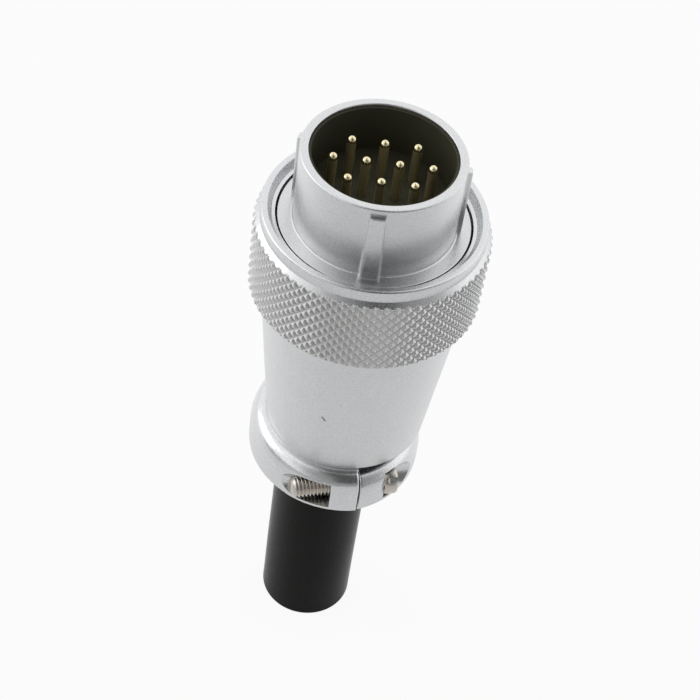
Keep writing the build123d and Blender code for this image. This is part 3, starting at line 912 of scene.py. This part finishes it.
def along_screw(node):
    """The screw's underside of head, tip and line, in the clamp's own turned frame."""
    corners = np.zeros(len(NODES[node].data.vertices) * 3, np.float32)
    NODES[node].data.vertices.foreach_get("co", corners)
    place = corners.reshape(-1, 3).astype(float) / MM
    turn = radians(CLAMP_TURN)
    along = place[:, 0] * cos(turn) + place[:, 1] * sin(turn)
    across = place[:, 1] * cos(turn) - place[:, 0] * sin(turn)
    middle, level = (across.max() + across.min()) / 2, place[:, 2].min() + HEAD_R
    return along.max() - HEAD_HEIGHT, along.min(), middle, level


def to_clamp(grid, seat, across, level):
    """Turns points given along the screw, across it and up into the object's own frame."""
    along, side, up = grid[..., 0] + seat, grid[..., 1] + across, grid[..., 2] + level
    turn = radians(CLAMP_TURN)
    return np.stack([along * cos(turn) - side * sin(turn), along * sin(turn) + side * cos(turn), up], -1)


print("screw", [round(float(v), 2) for v in along_screw("clamp_screw_front")])

# %% Screw thread
def screw_shank(length):
    """Threaded rod with poles at both ends.

    The radius is less by the thread's depth times a wave of distance less turn, and by a quarter circle at
    the tip, which the thread fades into.
    """
    rows = int(length * SCREW_ROWS / SCREW_PITCH)
    x = -np.linspace(-SHANK_SUNK, length, rows)
    near = np.clip((x + length) / TIP_DOME, 0, 1)
    limit = SCREW_R - TIP_DOME + TIP_DOME * np.sqrt(1 - (1 - near) ** 2)
    turn = np.linspace(0, 2 * pi, SCREW_COLUMNS, endpoint=False)[None]
    wave = 2 * to_nearest(x[:, None] / SCREW_PITCH - turn / (2 * pi))
    fade = np.clip((x + length)[:, None] / TIP_FADE - 0.6, 0, 1)
    r = np.minimum(limit[:, None], SCREW_R - SCREW_THREAD * np.clip(1.3 * wave - 0.15, 0, 1) ** 1.2 * fade)
    r[0], r[-1] = 0, 0
    r = np.concatenate([r[:1], r[1:2], r[1:]])
    x = np.r_[x[0], x[0], x[1:]]
    return np.stack([x[:, None] * np.ones_like(r), r * np.cos(turn), r * np.sin(turn)], -1)


print("threads ready, pitch", SCREW_PITCH)

# %% Screw head
FOOT_EDGE = 0.08
SLOT_SIDE = np.array([-0.001, 0.0, 0.03, 0.08])
SLOT_DROP = np.array([SLOT_DEPTH, 0.06, 0.015, 0.0])


def head_slices():
    """Slices of the head across its slot: a grid of (slice, place round the slice) points.

    The head's turned profile gives a radius r at each height. At a distance w from the axis a slice reaches
    the square root of r squared less w squared to each side, and its top is cut down by the slot's depth, or
    on the slot's soft edge by the drop that belongs to w.
    """
    edge = np.linspace(0, pi / 2, 6)[1:]
    profile_r = np.r_[HEAD_R - FOOT_EDGE, HEAD_R, HEAD_R,
                      HEAD_R - HEAD_EDGE + HEAD_EDGE * np.cos(edge), 1.0, 0.5]
    profile_x = np.r_[0.0, FOOT_EDGE, HEAD_HEIGHT - HEAD_EDGE,
                      HEAD_HEIGHT - HEAD_EDGE * (1 - np.sin(edge)), HEAD_HEIGHT, HEAD_HEIGHT]
    half = SLOT_WIDTH / 2
    far = np.sin(np.linspace(np.arcsin((half + 0.12) / HEAD_R), pi / 2, 12)) * HEAD_R
    side = np.r_[half + SLOT_SIDE, far]
    w = np.r_[-side[::-1], -half / 3, half / 3, side]
    drop = np.r_[SLOT_DROP, np.zeros(len(far))]
    drop = np.r_[drop[::-1], SLOT_DEPTH, SLOT_DEPTH, drop]
    r = np.maximum(profile_r[None], np.abs(w)[:, None])
    level = np.interp(r, profile_r[:1:-1], profile_x[:1:-1])
    x = np.where(profile_r[None] < np.abs(w)[:, None], level, profile_x[None])
    x = np.minimum(x, HEAD_HEIGHT - drop[:, None])
    v = np.sqrt(np.maximum(r ** 2 - w[:, None] ** 2, 0))
    loop_x = np.concatenate([x, x[:, ::-1]], 1)
    loop_v = np.concatenate([v, -v[:, ::-1]], 1)
    return np.stack([loop_x, loop_v, w[:, None] * np.ones_like(loop_v)], -1)


print("slices in a head", len(head_slices()))

# %% Both screws
def clamp_screw(node, name):
    """Meshes of the threaded shank and of the slotted head, which is turned about the screw's line."""
    seat, tip, across, level = along_screw(node)
    slices = head_slices()
    turn = radians(SLOT_TURN)
    v, w = slices[..., 1].copy(), slices[..., 2].copy()
    slices[..., 1], slices[..., 2] = v * cos(turn) - w * sin(turn), v * sin(turn) + w * cos(turn)
    ends = [piece.mean(1, keepdims=True) * np.ones_like(piece) for piece in (slices[:1], slices[-1:])]
    whole = np.concatenate([ends[0], slices, ends[1]])
    head = mesh_from_grid(name + "_head", to_clamp(whole, seat, across, level), ring=False)
    shank = mesh_from_grid(name, to_clamp(screw_shank(seat - tip), seat, across, level), ring=False)
    return shank, head


for node, name in (("clamp_screw_front", "screw_front"), ("clamp_screw_rear", "screw_rear")):
    shank, head = clamp_screw(node, name)
    finish = nickel(name + "_nickel", (0.68, 0.64, 0.58), 0.26)
    take_place(shank, "clamp_saddle", node, finish)
    take_place(head, "clamp_saddle", node, finish)

# %% [markdown]
# ## Rubber sleeve
# The sleeve is a moulded rubber tube. Rubber is never quite round or straight, so its skin is eased by a
# few hundredths of a millimetre, by slow waves that always pull inwards and so keep it inside its solid.

# %% Sleeve
SLEEVE_LOW, SLEEVE_HIGH = span("cable_sleeve")
SLEEVE_R = (SLEEVE_HIGH[0] - SLEEVE_LOW[0]) / 2
SLEEVE_AXIS = (SLEEVE_HIGH[:2] + SLEEVE_LOW[:2]) / 2
SLEEVE_BORE_R = 4.5
SLEEVE_COLUMNS, SLEEVE_ROW_STEP = 144, 1.5
SOFTNESS = 0.05


def cable_sleeve():
    """Turned tube whose outer radius is less by two slow waves of turn and height, and true at its foot."""
    wall = [(SLEEVE_R, z, 0) for z in np.arange(2.0, SLEEVE_HIGH[2] - SLEEVE_ROW_STEP, SLEEVE_ROW_STEP)]
    outline = rounded([(SLEEVE_BORE_R, 0, 0.25), (SLEEVE_R, 0, 0.35)] + wall +
                      [(SLEEVE_R, SLEEVE_HIGH[2], 0.35), (SLEEVE_BORE_R, SLEEVE_HIGH[2], 0.25)], steps=5)
    azimuths = np.linspace(0, 360, SLEEVE_COLUMNS, endpoint=False)[None]
    turn, z = np.radians(azimuths), outline[:, 1:]
    ease = SOFTNESS * (0.5 + 0.25 * np.sin(2 * turn + 0.16 * z) + 0.25 * np.sin(3 * turn - 0.31 * z))
    ease = ease * (outline[:, :1] > SLEEVE_R - 0.5) * np.clip(z / 1.5, 0, 1)
    return mesh_from_grid("cable_sleeve_skin", carried(outline[:, :1] - ease, z, azimuths, SLEEVE_AXIS))


take_place(cable_sleeve(), "connector_body", "cable_sleeve", sleeve_rubber("sleeve_rubber"))

# %% [markdown]
# ## Solids that stay
# The housing, the saddle, the pins and everything inside have their whole form already, so they keep their
# solids and get a finish. The two clamp pieces share one metal but not one axis, because the saddle has
# been drawn in towards the sleeve, so each has a mask worked out about its own centre. The housing has two
# small dark marks of wear at its front.

# %% Dressing the solids
CLAMP_R = 12.9
SADDLE_TOP = span("clamp_saddle")[1][2]
SHOULDER_RISE = 0.87
CLOSING = 2.0
SADDLE_CENTRE = (-CLOSING * cos(radians(CLAMP_TURN)), -CLOSING * sin(radians(CLAMP_TURN)))
HOUSING_MARKS = (((-3.12, -11.57, 51.79), (-2.72, -11.61, 51.22), 0.36, 0.8),
                 ((-0.99, -12.29, 55.31), (-0.95, -12.29, 55.25), 0.24, 0.45))
finishes = {
    "back_shell": plated("housing_plating", ((0.0, 0.0), CLAMP_R, SADDLE_TOP + SHOULDER_RISE),
                         marks=HOUSING_MARKS),
    "clamp_saddle": plated("saddle_plating", (SADDLE_CENTRE, CLAMP_R, SADDLE_TOP)),
    "front_insulator": cup_plastic("cup_plastic"),
    "rear_insulator": cup_plastic("disc_plastic"),
    "insulator_ring": nickel("ring_steel", (0.56, 0.56, 0.56), 0.3),
    "nut_washer": nickel("washer_steel", (0.60, 0.60, 0.60), 0.3),
    "shell_gasket": sleeve_rubber("gasket_rubber"),
}
gold = contact_gold("pin_gold")
finishes.update({node: gold for node in NODES if node.startswith("contact_pin")})


def dress(node, material):
    """Gives a solid its finish in place of the plain one it came with."""
    NODES[node].data.materials.clear()
    NODES[node].data.materials.append(material)


for node, material in finishes.items():
    dress(node, material)
print("dressed", len(finishes), "solids")
